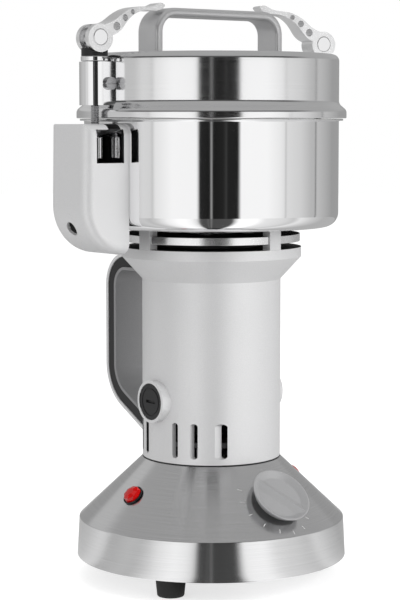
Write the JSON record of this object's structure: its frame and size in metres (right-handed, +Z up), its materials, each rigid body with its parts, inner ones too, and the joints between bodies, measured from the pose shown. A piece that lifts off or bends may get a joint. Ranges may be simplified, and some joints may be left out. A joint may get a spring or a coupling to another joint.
{
  "type": "hammer mill",
  "caption": "Upright electric grain mill: steel bowl with a clamped lid and flat blades, on a motor column with a side handle, a timer knob and a round base.",
  "frame": {"origin": "on the motor axis, in the plane that the feet stand on", "axes": "+Z up along the motor axis; -Y towards the timer knob, the front; -X towards the left clamp and its switch box; +Y towards the side handle"},
  "size_m": [0.1973, 0.1767, 0.3453],
  "materials": {
    "polished_steel": "polished stainless steel",
    "brushed_base": "fine circular brushing",
    "silver_paint": "satin silver lacquer",
    "satin_aluminium": "satin, cast",
    "bright_chrome": "bright",
    "plain_steel": "machined",
    "black_plastic": "fine grain",
    "grey_plastic": "satin",
    "red_lens": "clear gloss",
    "black_rubber": "matt",
    "white_rubber": "matt silicone",
    "copper": "copper",
    "brass": "plain",
    "laminations": "stacked sheet",
    "carbon": "pressed graphite"
  },
  "bodies": {
    "machine": {"base_shell": "brushed_base", "base_plate": "plain_steel", "rubber_feet": "black_rubber", "foot_screws": "plain_steel", "timer_case": "black_plastic", "lamp_bodies": "black_plastic", "lamp_lenses": "red_lens", "cord_gland": "black_plastic", "motor_housing": "silver_paint", "brush_caps": "black_plastic", "brush_holders": "brass", "carbon_brushes": "carbon", "brush_springs": "plain_steel", "stator_core": "laminations", "field_coils": "copper", "lower_bearing": "plain_steel", "upper_bearing": "plain_steel", "lower_bracket": "plain_steel", "bearing_seat": "silver_paint", "deck_ring": "bright_chrome", "bowl_posts": "bright_chrome", "bowl_screws": "plain_steel", "motor_screws": "plain_steel", "bowl": "polished_steel", "seal_housing": "plain_steel", "shaft_seal": "black_rubber", "switch_box": "silver_paint", "catch_plate": "plain_steel", "microswitch": "black_plastic", "right_catch": "silver_paint", "grip_skin": "silver_paint", "grip_core": "black_plastic", "grip_liner": "silver_paint"},
    "rotor": {"motor_shaft": "plain_steel", "armature_core": "laminations", "armature_windings": "copper", "commutator": "copper", "cooling_fan": "black_plastic", "blade_lower": "plain_steel", "blade_middle": "plain_steel", "blade_upper": "plain_steel", "blade_spacers": "plain_steel", "blade_nut": "bright_chrome"},
    "timer_dial": {"timer_knob": "grey_plastic", "timer_spindle": "grey_plastic"},
    "gasket": {"lid_gasket": "white_rubber"},
    "lid": {"lid_shell": "polished_steel", "lid_handle": "satin_aluminium", "lid_screws": "plain_steel", "clamp_blocks": "bright_chrome", "clamp_rings": "bright_chrome", "clamp_pads": "black_plastic", "clamp_rod_left": "bright_chrome", "clamp_nut_left": "bright_chrome", "clamp_rod_right": "bright_chrome", "clamp_nut_right": "bright_chrome"},
    "lever_left": {"clamp_lever_left": "satin_aluminium", "pivot_pin_left": "bright_chrome"},
    "lever_right": {"clamp_lever_right": "satin_aluminium", "pivot_pin_right": "bright_chrome"}
  },
  "joints": [
    {"name": "rotor_spin", "type": "hinge", "parent": "machine", "child": "rotor", "pos_m": [0, 0, 0.2139], "axis": [0, 0, 1], "continuous": true},
    {"name": "timer_turn", "type": "hinge", "parent": "machine", "child": "timer_dial", "pos_m": [0, -0.0621, 0.05361], "axis": [0, -0.6871, 0.7266], "range_deg": [-300, 0]},
    {"name": "lid_lift", "type": "slide", "parent": "machine", "child": "gasket", "axis": [0, 0, 1], "range_m": [0, 0.0377]},
    {"name": "lid_turn", "type": "hinge", "parent": "gasket", "child": "lid", "pos_m": [0, 0, 0.2767], "axis": [0, 0, 1], "range_deg": [0, 150]},
    {"name": "lever_left_swing", "type": "hinge", "parent": "lid", "child": "lever_left", "pos_m": [-0.0842, 0, 0.3225], "axis": [-0.0698, -0.9976, 0], "range_deg": [0, 120]},
    {"name": "lever_right_swing", "type": "hinge", "parent": "lid", "child": "lever_right", "pos_m": [0.0842, 0, 0.3225], "axis": [0.2079, 0.9781, 0], "range_deg": [0, 120]}
  ],
  "couplings": [
    {"joint": "lid_lift", "follows": "lid_turn", "m_per_rad": 0.01432}
  ]
}
